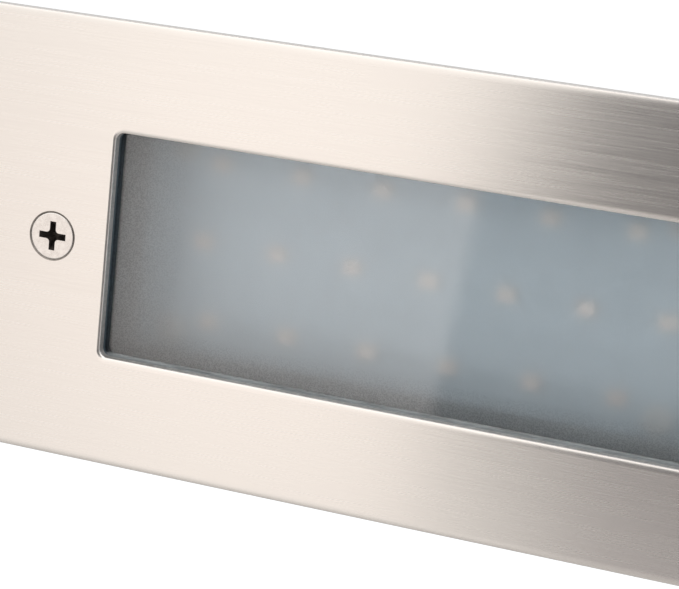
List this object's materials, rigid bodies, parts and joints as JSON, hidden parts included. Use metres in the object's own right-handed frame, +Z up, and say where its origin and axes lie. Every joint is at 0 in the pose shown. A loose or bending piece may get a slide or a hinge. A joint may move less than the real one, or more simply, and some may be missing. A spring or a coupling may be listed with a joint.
{
  "type": "step light",
  "caption": "Recessed brick-size step light: brushed stainless faceplate, frosted glass window over an LED board, die-cast housing and a wall box.",
  "frame": {"origin": "centre of the wall opening, on the wall's surface behind the faceplate's centre", "axes": "+X along the faceplate, +Y into the wall, +Z up; the face looks along -Y"},
  "size_m": [0.24, 0.0695, 0.08],
  "materials": {
    "box_plastic": "fine moulded texture",
    "plug_rubber": "matt",
    "brass": "turned",
    "brushed_steel": "brushed lengthwise",
    "screw_steel": "turned, satin",
    "zinc_steel": "zinc plated",
    "gasket_foam": "closed-cell foam",
    "frosted_glass": "clear front, frosted back",
    "seal_rubber": "matt",
    "cast_housing": "powder coated die casting",
    "tray_aluminium": "mill finish",
    "board_white": "white solder resist",
    "led_body": "smooth",
    "phosphor": "cast silicone",
    "white_plastic": "fine moulded texture",
    "board_green": "green solder resist",
    "black_plastic": "moulded",
    "ferrite": "sintered",
    "winding_tape": "wound tape",
    "capacitor_sleeve": "shrink sleeve",
    "film_yellow": "dipped",
    "wire_brown": "insulation",
    "wire_blue": "insulation",
    "wire_green_yellow": "striped insulation",
    "wire_red": "insulation",
    "wire_black": "insulation",
    "gland_nylon": "moulded nylon"
  },
  "bodies": {
    "wall_box": {"wall_box": "box_plastic", "box_frame": "box_plastic", "brass_inserts": "brass", "entry_plug": "plug_rubber"},
    "fitting": {"faceplate": "brushed_steel", "plate_studs": "screw_steel", "stud_washers": "zinc_steel", "stud_nuts": "zinc_steel", "face_gasket": "gasket_foam", "glass_pane": "frosted_glass", "glass_seal": "seal_rubber", "housing": "cast_housing", "gear_tray": "tray_aluminium", "led_board": "board_white", "led_packages": "led_body", "led_phosphors": "phosphor", "board_screws": "zinc_steel", "driver_case": "white_plastic", "driver_lid": "white_plastic", "driver_board": "board_green", "input_terminal": "black_plastic", "output_terminal": "black_plastic", "transformer_core": "ferrite", "transformer_winding": "winding_tape", "choke": "ferrite", "bridge_rectifier": "black_plastic", "driver_capacitors": "capacitor_sleeve", "film_capacitor": "film_yellow", "fuse": "black_plastic", "driver_screws": "zinc_steel", "terminal_block": "white_plastic", "terminal_clamps": "brass", "terminal_screws": "zinc_steel", "block_screws": "zinc_steel", "live_wire": "wire_brown", "neutral_wire": "wire_blue", "earth_wire": "wire_green_yellow", "led_positive_wire": "wire_red", "led_negative_wire": "wire_black", "wire_grommet": "plug_rubber", "earth_ring": "brass", "earth_screw": "zinc_steel", "gland_body": "gland_nylon", "gland_washer": "seal_rubber", "gland_locknut": "gland_nylon", "gland_seal": "seal_rubber"},
    "gland_ring": {"gland_slip_ring": "white_plastic"},
    "gland_nut": {"gland_nut": "gland_nylon"},
    "left_seal": {"left_head_seal": "seal_rubber"},
    "left_screw": {"left_face_screw": "screw_steel"},
    "right_seal": {"right_head_seal": "seal_rubber"},
    "right_screw": {"right_face_screw": "screw_steel"}
  },
  "joints": [
    {"name": "fitting_pull_out", "type": "slide", "parent": "wall_box", "child": "fitting", "axis": [0, -1, 0], "range_m": [0, 0.06]},
    {"name": "left_screw_travel", "type": "slide", "parent": "fitting", "child": "left_seal", "axis": [0, -1, 0], "range_m": [0, 0.0098]},
    {"name": "left_screw_turn", "type": "hinge", "parent": "left_seal", "child": "left_screw", "pos_m": [-0.1016, -0.0045, 0], "axis": [0, -1, 0], "range_deg": [0, 5040]},
    {"name": "right_screw_travel", "type": "slide", "parent": "fitting", "child": "right_seal", "axis": [0, -1, 0], "range_m": [0, 0.0098]},
    {"name": "right_screw_turn", "type": "hinge", "parent": "right_seal", "child": "right_screw", "pos_m": [0.1016, -0.0045, 0], "axis": [0, -1, 0], "range_deg": [0, 5040]},
    {"name": "gland_nut_travel", "type": "slide", "parent": "fitting", "child": "gland_ring", "axis": [1, 0, 0], "range_m": [0, 0.006]},
    {"name": "gland_nut_turn", "type": "hinge", "parent": "gland_ring", "child": "gland_nut", "pos_m": [0.076, 0.0361, 0], "axis": [1, 0, 0], "range_deg": [0, 1440]}
  ],
  "couplings": [
    {"joint": "left_screw_turn", "follows": "left_screw_travel", "rad_per_m": 8976},
    {"joint": "right_screw_turn", "follows": "right_screw_travel", "rad_per_m": 8976},
    {"joint": "gland_nut_turn", "follows": "gland_nut_travel", "rad_per_m": 4188.8}
  ]
}
